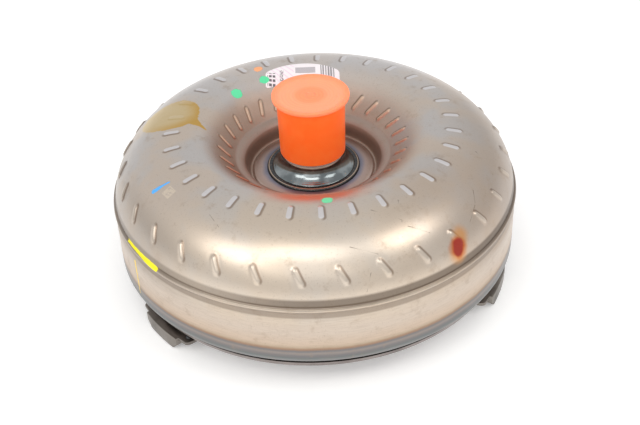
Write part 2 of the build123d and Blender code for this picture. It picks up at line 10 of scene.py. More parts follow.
import bmesh
import bpy
from mathutils import Matrix, Vector


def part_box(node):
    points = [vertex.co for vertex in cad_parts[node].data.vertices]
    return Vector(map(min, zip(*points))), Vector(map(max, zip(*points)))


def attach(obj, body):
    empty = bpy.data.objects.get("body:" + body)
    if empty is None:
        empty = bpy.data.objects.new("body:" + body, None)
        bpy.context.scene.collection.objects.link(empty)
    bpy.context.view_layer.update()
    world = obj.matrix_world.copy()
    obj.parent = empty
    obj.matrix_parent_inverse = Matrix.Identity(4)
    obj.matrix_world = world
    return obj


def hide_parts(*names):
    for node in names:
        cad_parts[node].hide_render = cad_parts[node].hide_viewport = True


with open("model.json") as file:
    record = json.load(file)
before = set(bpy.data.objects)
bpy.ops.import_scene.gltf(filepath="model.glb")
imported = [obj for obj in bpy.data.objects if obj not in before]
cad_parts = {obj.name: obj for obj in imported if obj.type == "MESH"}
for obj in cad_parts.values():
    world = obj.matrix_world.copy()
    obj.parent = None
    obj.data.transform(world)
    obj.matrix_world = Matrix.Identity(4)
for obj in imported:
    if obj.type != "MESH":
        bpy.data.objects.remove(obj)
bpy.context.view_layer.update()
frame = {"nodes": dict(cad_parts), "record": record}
MM = 0.001

# %% [markdown]
# The camera stands about 0.86 m away and looks down at 37 degrees, with a long lens so
# that the round body isn't stretched. The view is tipped by two and a half degrees,
# as when a camera is held by hand. It is set up early so that every later step can be looked at.

# %% Camera
scene = bpy.context.scene
CAMERA_PLACE = Vector((2.99, -665.53, 539.79)) * MM
LOOK_DOWN = math.radians(37.008)
TIP = math.radians(2.499)
LENS = 65.145

camera_data = bpy.data.cameras.new("camera")
camera_data.lens = LENS
camera_data.sensor_width = 36.0
camera_data.clip_start = 0.05
camera = bpy.data.objects.new("camera", camera_data)
scene.collection.objects.link(camera)
tilt = Matrix.Rotation(math.pi / 2 - LOOK_DOWN, 4, "X")
tip = Matrix.Rotation(-TIP, 4, "Z")
camera.matrix_world = Matrix.Translation(CAMERA_PLACE) @ tilt @ tip
scene.camera = camera
print("camera height", round(CAMERA_PLACE.z, 3))

# %% [markdown]
# The floor and the walls are one pale sheet, as in a tent of white cloth. Bare
# metal shows what it mirrors, so most of the look comes from three large soft boxes in a
# row above and in front, and from the bright surround. The sheet is lit a little from
# behind, which is what washes a contact shadow out.

# %% Floor and surround
scene.view_settings.view_transform = "Standard"
FLOOR_HALF = 3.0
SURROUND = (1.0, 1.0, 1.0)
SURROUND_STRENGTH = 0.80

world = bpy.data.worlds.new("surround")
world.use_nodes = True
world.node_tree.nodes["Background"].inputs["Color"].default_value = (*SURROUND, 1)
world.node_tree.nodes["Background"].inputs["Strength"].default_value = SURROUND_STRENGTH
scene.world = world

floor_mesh = bmesh.new()
bmesh.ops.create_grid(floor_mesh, x_segments=2, y_segments=2, size=FLOOR_HALF)
floor_data = bpy.data.meshes.new("floor")
floor_mesh.to_mesh(floor_data)
floor_mesh.free()
floor = bpy.data.objects.new("floor", floor_data)
scene.collection.objects.link(floor)
floor_paint = bpy.data.materials.new("floor_paper")
floor_paint.use_nodes = True
floor_shader = floor_paint.node_tree.nodes["Principled BSDF"]
floor_shader.inputs["Base Color"].default_value = (0.93, 0.93, 0.93, 1)
floor_shader.inputs["Roughness"].default_value = 0.9
floor_shader.inputs["Emission Color"].default_value = (1, 1, 1, 1)
floor_shader.inputs["Emission Strength"].default_value = 0.25
floor_data.materials.append(floor_paint)
print("floor is", 2 * FLOOR_HALF, "m wide")

# %% [markdown]
# The soft boxes stand in a row, and a dimmer one below them keeps the lower part of the
# dome from going dark. Their light is a little warm.

# %% Lights
def soft_light(name, place, aim, width, depth, power, tint=(1, 1, 1)):
    """A rectangular soft box at a place, facing another place."""
    data = bpy.data.lights.new(name, "AREA")
    data.shape = "RECTANGLE"
    data.size = width
    data.size_y = depth
    data.energy = power
    data.color = tint
    lamp = bpy.data.objects.new(name, data)
    facing = (Vector(aim) - Vector(place)).to_track_quat("-Z", "Y").to_matrix().to_4x4()
    lamp.matrix_world = Matrix.Translation(place) @ facing
    scene.collection.objects.link(lamp)
    return lamp


soft_light("strip_left", (-0.95, -0.75, 1.15), (0, 0, 0.08), 0.75, 0.55, 3.4, (1.0, 0.98, 0.94))
soft_light("strip_front", (-0.12, -0.72, 1.25), (0, 0, 0.08), 0.80, 0.40, 2.4, (1.0, 0.98, 0.94))
soft_light("strip_low", (-0.15, -1.05, 0.75), (0, 0, 0.08), 1.10, 0.35, 0.8, (1.0, 0.98, 0.94))
soft_light("strip_right", (0.85, -0.42, 1.15), (0, 0, 0.08), 0.60, 0.45, 2.6, (1.0, 0.98, 0.94))

# %% [markdown]
# Shader maths reads best as plain sums. The class below wraps one output socket. Adding
# or multiplying it adds the Math node that does so, and its node method adds any other
# node in the same tree, with its settings first and then the values or links.


# %% A socket that does arithmetic
class Signal:
    """One output socket of a node tree that can be used in expressions."""

    def __init__(self, tree, socket):
        self.tree = tree
        self.socket = socket

    def node(self, kind, settings=None, sockets=None, output=0):
        """Add a node, set it up, feed its sockets, and return one of its outputs."""
        made = self.tree.nodes.new(kind)
        for name, value in (settings or {}).items():
            if name == "stops":
                fill_ramp(made.color_ramp, value)
            else:
                setattr(made, name, value)
        for name, value in (sockets or {}).items():
            if isinstance(value, Signal):
                self.tree.links.new(value.socket, made.inputs[name])
            else:
                made.inputs[name].default_value = value
        return Signal(self.tree, made.outputs[output])

    def math(self, operation, *others):
        sockets = dict(enumerate((self, *others)))
        return self.node("ShaderNodeMath", {"operation": operation}, sockets)

    def __add__(self, other):
        return self.math("ADD", other)

    __radd__ = __add__

    def __mul__(self, other):
        return self.math("MULTIPLY", other)

    __rmul__ = __mul__

    def __sub__(self, other):
        return self.math("SUBTRACT", other)

    def __rsub__(self, other):
        return self * -1 + other

    def __truediv__(self, other):
        return self.math("DIVIDE", other)

    def __pow__(self, other):
        return self.math("POWER", other)

    def step(self, low, high):
        """A smooth rise from 0 at low to 1 at high, or a fall where low is the larger."""
        sockets = {"Value": self, "From Min": low, "From Max": high}
        return self.node("ShaderNodeMapRange", {"interpolation_type": "SMOOTHSTEP"}, sockets)

    def between(self, low, high, soft):
        """1 between two values, falling to 0 over the soft distance outside them."""
        return self.step(low - soft, low) * self.step(high + soft, high)

    def mix(self, other, amount, how="MIX"):
        """This colour turned towards another colour by an amount."""
        settings = {"data_type": "RGBA", "blend_type": how}
        return self.node("ShaderNodeMix", settings, {0: amount, 6: self, 7: other}, 2)


def fill_ramp(ramp, stops):
    """Set the stops of a colour ramp from (position, colour) pairs."""
    while len(ramp.elements) < len(stops):
        ramp.elements.new(0.5)
    for element, (position, colour) in zip(ramp.elements, stops):
        element.position = position
        element.color = colour


def rgb(red, green, blue):
    """An opaque colour from screen values of 0 to 255."""
    return (*[(value / 255) ** 2.2 for value in (red, green, blue)], 1)


print("example colour", [round(c, 3) for c in rgb(200, 180, 160)])

# %% [markdown]
# Every finish starts in the same way: a new material, its shader, and the place of the
# point being shaded. The place comes as a vector and also as a radius, an angle and a
# height, because nearly every piece here was turned, drawn or pressed about one axis.

# %% A finish to build on
class Finish:
    """A material with its shader and the coordinates that patterns are drawn in."""

    def __init__(self, name, metallic, roughness, **constants):
        self.material = bpy.data.materials.new(name)
        self.material.use_nodes = True
        self.tree = self.material.node_tree
        self.shader = self.tree.nodes["Principled BSDF"]
        self.set("Metallic", metallic)
        self.set("Roughness", roughness)
        for socket, value in constants.items():
            self.set(socket.replace("_", " "), value)
        place = self.tree.nodes.new("ShaderNodeTexCoord").outputs["Object"]
        self.place = Signal(self.tree, place)
        axes = self.tree.nodes.new("ShaderNodeSeparateXYZ")
        self.tree.links.new(place, axes.inputs[0])
        self.x, self.y, self.z = [Signal(self.tree, axes.outputs[i]) for i in range(3)]
        self.radius = (self.x * self.x + self.y * self.y) ** 0.5
        self.angle = self.y.math("ARCTAN2", self.x) * (180 / math.pi)

    def set(self, socket, value):
        """Feed a socket of the shader with a link or a constant."""
        if isinstance(value, Signal):
            self.tree.links.new(value.socket, self.shader.inputs[socket])
        else:
            self.shader.inputs[socket].default_value = value

    def noise(self, size, detail=3.0, roughness=0.55, stretch=(1, 1, 1)):
        """Cloudy noise from 0 to 1 whose blots are about the given size."""
        place = self.place
        if stretch != (1, 1, 1):
            place = place.node("ShaderNodeMapping", None, {"Vector": place, "Scale": stretch})
        sockets = {"Vector": place, "Scale": 1 / size, "Detail": detail, "Roughness": roughness}
        return place.node("ShaderNodeTexNoise", None, sockets)

    def wave(self, signal, pitch):
        """A sine wave from -1 to 1 along a signal."""
        return (signal * (2 * math.pi / pitch)).math("SINE")

    def near(self, spot, reach, soft, wander=None):
        """1 around a spot, fading at reach; wander is a noise that frays the edge."""
        away = self.place.node(
            "ShaderNodeVectorMath", {"operation": "DISTANCE"}, {0: self.place, 1: spot}, "Value"
        )
        if wander is not None:
            away = away + (wander - 0.5) * reach
        return away.step(reach + soft, reach - soft)

    def colour(self, value):
        """A plain colour as a Signal, to start a chain of mixes."""
        sockets = {0: 0.0, 6: value, 7: value}
        return self.place.node("ShaderNodeMix", {"data_type": "RGBA"}, sockets, 2)

    def bump(self, height, distance, strength=1.0):
        """Turn a height pattern into a normal for the shader."""
        sockets = {"Height": height, "Distance": distance, "Strength": strength}
        self.set("Normal", self.place.node("ShaderNodeBump", None, sockets))


print("finish helper ready")

# %% [markdown]
# Most pieces are turned on a lathe or pressed between round dies. For those a closed
# outline is drawn in the plane of the axis, its corners are rounded with a vertex bevel,
# and the spin operator turns it about Z. Spinning keeps the outline editable, where a
# stack of ready cylinders would leave seams.


# %% Helpers that make meshes
def finished(name, mesh, body, slot, material, *replaced, smooth=35):
    """Turn a bmesh into a piece that rides on a body and stands for CAD nodes."""
    data = bpy.data.meshes.new(name)
    mesh.to_mesh(data)
    mesh.free()
    piece = bpy.data.objects.new(name, data)
    scene.collection.objects.link(piece)
    data.materials.append(material)
    data.shade_smooth()
    data.set_sharp_from_angle(angle=math.radians(smooth))
    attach(piece, body)
    if replaced:
        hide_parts(*replaced)
    print(name, len(data.polygons), "faces")
    return piece


def outline_ring(points):
    """A bmesh that holds one closed outline of (radius, height) points, as a face."""
    mesh = bmesh.new()
    corners = [mesh.verts.new((radius, 0, height)) for radius, height in points]
    mesh.faces.new(corners)
    return mesh


def round_corners(mesh, radius, segments, chosen=None):
    """Round the corners of a flat outline, all of them or those a test picks."""
    corners = [v for v in mesh.verts if chosen is None or chosen(v.co)]
    bmesh.ops.bevel(
        mesh, geom=corners, offset=radius, offset_type="OFFSET", segments=segments,
        profile=0.5, affect="VERTICES", material=-1,
    )


def spin_outline(mesh, steps):
    """Turn the outline about Z into a closed solid of revolution."""
    bmesh.ops.delete(mesh, geom=mesh.faces[:], context="FACES_ONLY")
    bmesh.ops.spin(
        mesh, geom=mesh.verts[:] + mesh.edges[:], cent=(0, 0, 0), axis=(0, 0, 1),
        angle=2 * math.pi, steps=steps, use_merge=True, use_duplicate=False,
    )
    bmesh.ops.remove_doubles(mesh, verts=mesh.verts, dist=1e-6)
    flat = [e for e in mesh.edges if e.calc_length() < 1e-7]
    bmesh.ops.dissolve_degenerate(mesh, dist=1e-7, edges=flat)
    bmesh.ops.recalc_face_normals(mesh, faces=mesh.faces)
    return mesh


def turned(corners, rounding, segments, steps):
    """A turned solid from millimetre corners, every corner rounded the same."""
    mesh = outline_ring([(radius * MM, height * MM) for radius, height in corners])
    if rounding:
        on_rim = lambda co: co.x > 1e-6
        round_corners(mesh, rounding * MM, segments, on_rim)
    return spin_outline(mesh, steps)


print("mesh helpers ready")

# %% [markdown]
# The impeller shell is one deep-drawn sheet. From the hub outwards it has a well with a
# flat floor, a steep wall, a shoulder, a funnel, a roll over the crest, a long dome, a
# rolled ridge and a straight skirt. The dome is part of an ellipse and the roll is part
# of a circle, so both are worked out by formula. The rows are closer together where the
# blade tabs were stamped, because those stamps are pushed out of this same mesh.

# %% Shape of the impeller shell
CREST_R = 88.0 * MM
CREST_Z = 111.4 * MM
DOME_Z = 64.0 * MM
DOME_HALF_WIDTH = 51.4 * MM
ROLL_R = 31.0 * MM
ROLL_Z = CREST_Z - ROLL_R
CONE = math.radians(42.5)
SHELL_WALL = 3.0 * MM


def dome_point(radius, inset=0.0):
    """(radius, height) on the drawn surface, or the same distance inside the metal."""
    if radius >= CREST_R:
        share = (radius - CREST_R) / (DOME_HALF_WIDTH - inset)
        return radius, DOME_Z + (CREST_Z - DOME_Z - inset) * math.sqrt(max(0, 1 - share * share))
    roll = ROLL_R - inset
    if radius >= CREST_R - roll * math.sin(CONE):
        return radius, ROLL_Z + math.sqrt(roll * roll - (CREST_R - radius) ** 2)
    run = CREST_R - roll * math.sin(CONE) - radius
    return radius, ROLL_Z + roll * math.cos(CONE) - run * math.tan(CONE)


def dome_tilt(radius):
    """Slope of the drawn surface at a radius, positive where it falls outwards."""
    step = 0.05 * MM
    rise = dome_point(radius + step)[1] - dome_point(radius - step)[1]
    return math.atan2(-rise, 2 * step)


print("crest", round(CREST_Z / MM, 1), "mm high; rim tilt", round(math.degrees(dome_tilt(0.132))))

# %% [markdown]
# The outline is one closed loop of points. It runs from the well out over the dome and
# down the skirt, then back along the inside of the metal.

# %% Outline of the impeller shell
COARSE_ROW = 2.6 * MM
FINE_ROW = 1.0 * MM


def rows_between(start, end, row):
    """Evenly spaced radii from start towards end, without the end."""
    count = max(1, round(abs(end - start) / row))
    return [start + (end - start) * i / count for i in range(count)]


well = [
    (28.5, 80.6), (35.0, 80.1), (41.2, 79.55), (42.0, 79.1), (42.3, 78.5), (43.2, 78.2),
    (44.2, 78.8), (44.7, 80.2), (45.1, 82.2), (45.5, 83.9), (46.1, 85.6), (46.9, 87.2),
    (48.0, 88.5), (49.3, 89.5), (50.8, 90.2), (52.2, 90.55), (53.2, 90.7),
]
skirt = [
    (138.86, 71.0), (138.72, 70.2), (139.0, 69.75), (139.7, 69.6), (140.15, 69.3),
    (140.4, 68.7), (140.4, 68.0), (140.1, 67.3), (139.5, 66.8), (139.1, 66.2),
    (138.95, 65.0), (138.95, 63.0), (139.1, 61.6), (139.5, 60.4), (139.85, 59.2),
    (139.9, 57.5), (139.9, 48.0), (139.9, 38.0), (139.9, 28.0), (139.8, 27.0),
    (139.4, 26.2), (138.6, 25.75), (137.0, 25.7), (136.95, 40.0), (136.9, 62.0),
]
funnel_rows = rows_between(54.0 * MM, 71.0 * MM, FINE_ROW)
crest_rows = rows_between(71.0 * MM, 88.5 * MM, COARSE_ROW)
crest_rows += rows_between(88.5 * MM, 104 * MM, FINE_ROW)
rim_rows = rows_between(104 * MM, 124 * MM, COARSE_ROW)
rim_rows += rows_between(124 * MM, 135 * MM, 0.85 * MM)
lip_rows = rows_between(135 * MM, 138.85 * MM, 0.5 * MM)
outer_rows = funnel_rows + crest_rows + rim_rows + lip_rows
inner_rows = rows_between(135.5 * MM, 58 * MM, 6 * MM)
shell_outline = [(r * MM, z * MM) for r, z in well]
shell_outline += [dome_point(r) for r in outer_rows]
shell_outline += [(r * MM, z * MM) for r, z in skirt]
shell_outline += [dome_point(r, SHELL_WALL) for r in inner_rows]
shell_outline += [(r * MM, z * MM) for r, z in [(50.8, 87.3), (46.6, 76.4), (28.5, 77.6)]]
print("outline has", len(shell_outline), "points")

# %% [markdown]
# Each impeller blade is held by tabs, and the dies press a small ridge over each tab.
# There are three rings of them: short flat pads on the crest, longer slanting ridges low
# on the dome, and narrow ribs in the funnel. One table describes the rings, and both the
# mesh and the finish read it, so that the painted shade and highlight round a ridge are where the
# ridge is.

# %% The stamped rings
BLADES = 31
PITCH = 360 / BLADES


class Ring:
    """One ring of stamped ridges, 31 of them, spaced evenly about the axis."""

    def __init__(self, radius, first, length, width, proud, skew):
        self.radius, self.height = dome_point(radius * MM)
        self.tilt = dome_tilt(radius * MM)
        self.first = first
        self.length = length * MM
        self.width = width * MM
        self.proud = proud * MM
        self.skew = math.radians(skew)

    def rise(self, co):
        """How far the metal stands out at a point, in metres."""
        angle = math.degrees(math.atan2(co.y, co.x)) - self.first
        angle = (angle + PITCH / 2) % PITCH - PITCH / 2
        radius = math.hypot(co.x, co.y)
        out, up = radius - self.radius, co.z - self.height
        along = out * math.cos(self.tilt) - up * math.sin(self.tilt)
        across = math.radians(angle) * radius
        u = along * math.cos(self.skew) + across * math.sin(self.skew)
        v = across * math.cos(self.skew) - along * math.sin(self.skew)
        past_end = max(0.0, abs(u) - (self.length - self.width) / 2)
        away = math.hypot(past_end, v)
        flank = 0.36 * self.width
        share = min(1.0, max(0.0, (self.width / 2 + 0.1 * flank - away) / flank))
        dip = math.exp(-((away - 0.85 * self.width) / (0.3 * self.width)) ** 2)
        return self.proud * (share * share * (3 - 2 * share) - 0.08 * dip)


RINGS = [
    Ring(96.2, 5.0, 11.6, 4.2, 0.5, 0),
    Ring(131.9, 9.3, 12.8, 3.9, 1.05, 28),
    Ring(61.0, 9.9, 12.6, 2.9, 0.85, -20),
]
print("rings at", [round(r.radius / MM, 1) for r in RINGS], "mm")

# %% [markdown]
# The loop is spun with 28 steps to a ridge, so that every ridge gets the same points.
# Each point of the dome then moves out along the slope by what the rings say.

# %% Spin the shell and push out the ridges
SHELL_STEPS = BLADES * 28
shell_mesh = spin_outline(outline_ring(shell_outline), SHELL_STEPS)
moves = []
for vert in shell_mesh.verts:
    radius = math.hypot(vert.co.x, vert.co.y)
    if not 54 * MM < radius < 138.6 * MM or abs(vert.co.z - dome_point(radius)[1]) > 0.3 * MM:
        continue
    slope = dome_tilt(radius)
    lean = math.sin(slope) / radius
    out = Vector((vert.co.x * lean, vert.co.y * lean, math.cos(slope)))
    moves.append((vert, out * sum(ring.rise(vert.co) for ring in RINGS)))
for vert, move in moves:
    vert.co += move
print("moved", len(moves), "points")

# %% [markdown]
# The shell's steel is bare. Drawing leaves it satin and slightly speckled, oil and air
# have warmed its colour, and the welder's heat has run bands of tint up the skirt. The
# finish is built in layers, each a mask with a colour: zones by radius and height first,
# some of them painted highlight and shade, then the ridges with painted shade beside
# them, then stains, a painted reflection, paint and scratches that sit at one place.


# %% Masks on the stamped rings
def ring_masks(finish, ring):
    """Two masks for a ring of ridges: the flat top, painted lighter as a highlight, and painted
    shade along one side.
    """
    turn = (finish.angle - ring.first) / PITCH
    angle = (turn.math("FRACT") + 1.5).math("FRACT") - 0.5
    across = angle * (math.radians(PITCH) * ring.radius)
    out = (finish.radius - ring.radius) * math.cos(ring.tilt)
    along = out - (finish.z - ring.height) * math.sin(ring.tilt)
    u = along * math.cos(ring.skew) + across * math.sin(ring.skew)
    v = across * math.cos(ring.skew) - along * math.sin(ring.skew)
    past_end = (u.math("ABSOLUTE") - (ring.length - ring.width) / 2).math("MAXIMUM", 0.0)
    away = (past_end * past_end + v * v) ** 0.5
    here = along.between(-ring.length, ring.length, 1 * MM)
    # The top mask carries a painted highlight; the skirt mask carries painted shade beside the
    # ridge on one side.
    top = away.step(0.46 * ring.width, 0.34 * ring.width) * here
    beside = v.step(-0.2 * ring.width, 0.5 * ring.width)
    skirt = away.between(0.44 * ring.width, 0.60 * ring.width, 0.30 * ring.width) * here * beside
    return top, skirt


print("ring masks ready")

# %% [markdown]
# A mark is given by its place in plan, and on_dome finds the height. A brushed stroke is a
# line with a width at each end: the distance to the line is compared with the width.

# %% Places of the marks on the shell
def on_dome(x, y):
    """The point of the drawn surface above a place in plan, in millimetres."""
    return Vector((x * MM, y * MM, dome_point(math.hypot(x, y) * MM)[1]))


def stroke(finish, start, end, width, tip, soft, wander):
    """A brushed stroke from start to end, whose width turns into the tip's."""
    start, end = Vector(start), Vector(end)
    run = end - start
    vector = "ShaderNodeVectorMath"
    offset = finish.place.node(vector, {"operation": "SUBTRACT"}, {0: finish.place, 1: start})
    sockets = {0: offset, 1: run / run.length_squared}
    share = offset.node(vector, {"operation": "DOT_PRODUCT"}, sockets, "Value")
    share = share.math("MAXIMUM", 0.0).math("MINIMUM", 1.0)
    nearest = offset.node(vector, {"operation": "SCALE"}, {0: run, "Scale": share})
    away = offset.node(vector, {"operation": "DISTANCE"}, {0: offset, 1: nearest}, "Value")
    past = away - (width + share * (tip - width)) / 2 + (wander - 0.5) * (0.5 * min(width, 4 * MM))
    return past.step(soft, -soft)


print("a point on the crest:", [round(c, 3) for c in on_dome(88, 0)])

# %% [markdown]
# The widest layer is the tint of the bare steel. Two lists of stops give it: one from the
# hub's weld out across the well, and one from the foot of the skirt up, where the heat of
# the seam weld left blue, straw and grey bands.

# %% Zones of the drawn steel
GREEN_PAINT = rgb(96, 226, 165)
WELL_TINT = [
    (0.00, rgb(60, 62, 70)), (0.14, rgb(104, 110, 126)), (0.34, rgb(140, 138, 150)),
    (0.52, rgb(176, 158, 152)), (0.80, rgb(176, 154, 143)), (1.00, rgb(200, 182, 172)),
]
SKIRT_TINT = [
    (0.00, rgb(118, 120, 121)), (0.06, rgb(144, 148, 151)), (0.14, rgb(110, 120, 123)),
    (0.22, rgb(120, 121, 126)), (0.31, rgb(148, 142, 139)), (0.38, rgb(116, 120, 126)),
    (0.45, rgb(158, 128, 106)), (0.53, rgb(192, 173, 152)), (0.62, rgb(207, 187, 168)),
    (1.00, rgb(210, 196, 182)),
]


def steel_zones(f, cloud, streak):
    """Colour of the bare steel by radius and height, with painted highlight and shade by side and
    on the well's steps.
    """
    base = f.colour(rgb(204, 190, 177)).mix(rgb(196, 191, 188), cloud.step(0.40, 0.62))
    # Painted highlight: the front and the back of the dome are painted lighter.
    base = base.mix(rgb(216, 200, 180), f.y.step(-50 * MM, -120 * MM) * 0.6)
    base = base.mix(rgb(214, 210, 210), f.y.step(20 * MM, 110 * MM) * 0.6)
    # Painted shade: the right side, the left rim and a patch at the front right are painted darker.
    base = base.mix(rgb(164, 150, 138), f.x.step(80 * MM, 135 * MM) * 0.85)
    left_rim = f.radius.step(120 * MM, 134 * MM) * f.x.step(-60 * MM, -115 * MM)
    base = base.mix(rgb(158, 148, 138), left_rim * 0.6)
    base = base.mix(rgb(172, 152, 134), f.near(on_dome(96, -84), 44 * MM, 34 * MM, cloud) * 0.45)
    # Painted shade: the funnel is painted darker, less so on the right.
    inside = f.radius.step(78 * MM, 62 * MM) * f.z.step(70 * MM, 80 * MM)
    inside = inside * (0.5 + 0.6 * cloud) * (1 - f.x.step(20 * MM, 70 * MM) * 0.55)
    base = base.mix(rgb(158, 134, 118), inside)
    # Painted highlight on the shoulder's round edge, and a painted dark reflection on the steep
    # wall below it.
    shoulder = f.radius.between(48 * MM, 53.5 * MM, 1.2 * MM)
    base = base.mix(rgb(172, 154, 144), shoulder * 0.8)
    wall = f.radius.between(43.5 * MM, 47 * MM, 0.8 * MM)
    base = base.mix(rgb(146, 124, 112), wall * 0.8)
    across = (f.radius - 30 * MM) / (12.4 * MM) + (cloud - 0.5) * 0.5
    plate = across.node("ShaderNodeValToRGB", {"stops": WELL_TINT}, {0: across})
    base = base.mix(plate, f.radius.step(43.2 * MM, 42.4 * MM))
    height = (f.z - 25.7 * MM) / (24 * MM) + (streak - 0.5) * 0.07
    skirt = height.node("ShaderNodeValToRGB", {"stops": SKIRT_TINT}, {0: height})
    return base.mix(skirt, f.radius.step(138.8 * MM, 139.4 * MM) * f.z.step(64 * MM, 50 * MM))


print("zones of the shell ready")

# %% [markdown]
# Two stains lie on the steel, dried varnish and a rust spot with its halo, and a faint red
# tint is a painted reflection of the orange cap. Noise frays their edges.

# %% Stains, rust and a painted reflection
def varnish(f, base, fray):
    """A dried pool of amber varnish with a pointed tail, darker towards its edge."""
    x = (f.x + 98.5 * MM) / (20.5 * MM)
    y = (f.y - 26 * MM) / (19.5 * MM)
    away = (x * x + y * y) ** 0.5 + (fray - 0.5) * 0.24
    tail = stroke(f, on_dome(-88, 19), on_dome(-73, 7.7), 14 * MM, 0.4 * MM, 0.3 * MM, fray)
    pool = away.step(1.03, 0.99).math("MAXIMUM", tail) * f.radius.step(127 * MM, 124 * MM)
    thick = away.step(0.45, 1.05) * (f.x - f.y * 0.6).step(-134 * MM, -96 * MM)
    base = base.mix(rgb(212, 188, 136), pool * 0.8)
    return base.mix(rgb(198, 152, 58), pool * thick * 0.75)


def rust_spot(f, base):
    """A rust spot with an orange halo that has run down the dome."""
    cloud_edge = f.noise(9 * MM, 2)
    spot = on_dome(88.6, -101.8)
    top, bottom = on_dome(90.2, -96.5), on_dome(88.5, -103.5)
    halo = stroke(f, top, bottom, 11 * MM, 13 * MM, 3.4 * MM, cloud_edge)
    base = base.mix(rgb(210, 150, 92), halo * 0.8)
    base = base.mix(rgb(186, 92, 46), f.near(spot, 6.6 * MM, 2.2 * MM, cloud_edge) * 0.85)
    top, bottom = on_dome(88.6, -100.9), on_dome(88.5, -102.8)
    rusty = stroke(f, top, bottom, 8.4 * MM, 8.0 * MM, 1.0 * MM, cloud_edge)
    return base.mix(rgb(150, 44, 26), rusty), rusty


def painted_cap_reflection(f, base, fray):
    """A faint red tint on the roll in front of the hub, a painted reflection of the orange cap."""
    arc = f.near(on_dome(0, -80), 34 * MM, 14 * MM, fray)
    arc = arc * f.radius.between(76 * MM, 86 * MM, 4 * MM)
    return base.mix(rgb(200, 140, 128), arc * 0.22)


print("stains ready")

# %% [markdown]
# Inspectors leave strokes and dots of paint. They are only brush marks here and say nothing.

# %% Paint marks
STROKES = [
    ((-123.6, -63.8, 70.4), (-104.0, -94.2, 69.8), 2.4, 4.4, rgb(255, 240, 40)),
    ((-120.4, -71.3, 58.5), (-120.3, -71.4, 31.0), 2.2, 1.0, rgb(250, 214, 96)),
    ((-104.0, -55.2, 102.4), (-93.8, -52.9, 107.8), 3.6, 1.8, rgb(84, 172, 248)),
]
DOTS = [
    (on_dome(-53.2, 53.2), 4.4, GREEN_PAINT), (on_dome(-33.4, 69.6), 3.7, GREEN_PAINT),
    (on_dome(7.7, -84.3), 3.4, rgb(110, 215, 160)), (on_dome(-38.1, 82), 3.6, rgb(250, 172, 122)),
]


def paint_marks(f, fray):
    """The inspector's marks, as one colour and one mask."""
    paint = f.colour((0, 0, 0, 1))
    painted = f.colour((0, 0, 0, 1))
    for start, end, width, tip, hue in STROKES:
        mask = stroke(f, Vector(start) * MM, Vector(end) * MM, width * MM, tip * MM, 0.3 * MM, fray)
        paint = paint.mix(hue, mask)
        painted = painted.math("MAXIMUM", mask)
    for spot, reach, hue in DOTS:
        mask = f.near(spot, reach * MM, 0.3 * MM, fray)
        paint = paint.mix(hue, mask)
        painted = painted.math("MAXIMUM", mask)
    return paint, painted


print(len(STROKES), "strokes and", len(DOTS), "dots")

# %% [markdown]
# Handling leaves short dark scratches. The code square is filled with random cells, so it
# holds no message.

# %% Scratches and the etched code
SCRATCHES = [
    ((101.8, -65.6), (102.2, -73.8)), ((102, -75), (97.5, -86.6)),
    ((34.5, -94.9), (53.2, -100.2)), ((51.9, -85.9), (53.1, -101.5)),
    ((56.7, -103.3), (70.3, -103.6)), ((20.2, -118.9), (37, -120.7)),
    ((32.2, -128.6), (29.4, -134.1)), ((-60, -98), (-66, -88)), ((108, -30), (118, -44)),
]


def etched_code(f):
    """A small etched square of random cells."""
    x, y = f.x / MM + 93.4, f.y / MM + 61.3
    along, across = x * 0.56 - y * 0.83, x * 0.83 + y * 0.56
    square = along.between(-3.7, 3.7, 0.2) * across.between(-3.2, 3.2, 0.2)
    cells = f.place.node(
        "ShaderNodeTexVoronoi", {"distance": "CHEBYCHEV", "feature": "F1"},
        {"Vector": f.place, "Scale": 1 / (1.3 * MM), "Randomness": 0.0}, "Color",
    )
    bright = cells.node("ShaderNodeSeparateColor", None, {0: cells})
    edge = 1 - along.between(-3.1, 3.1, 0.2) * across.between(-2.6, 2.6, 0.2)
    return bright.step(0.45, 0.55).math("MAXIMUM", edge) * square


def scratches(f, fray):
    """Fine dark scratches across the dome."""
    marks = fray * 0
    for start, end in SCRATCHES:
        line = stroke(f, on_dome(*start), on_dome(*end), 0.5 * MM, 0.3 * MM, 0.2 * MM, fray)
        marks = marks.math("MAXIMUM", line)
    return marks * fray.step(0.36, 0.5)


print(len(SCRATCHES), "scratches")

# %% [markdown]
# Now the layers are stacked, from the widest to the smallest, and joined to one shader.
# Paint and rust are not metal, so they switch the metal off where they lie. The same
# noises that tint the steel also roughen it and dent it a little, so that the layers
# belong together.

# %% Finish: the shell, put together
RING_LOOKS = [(rgb(222, 219, 221), 0.85), (rgb(206, 194, 180), 0.5), (rgb(206, 180, 158), 0.7)]


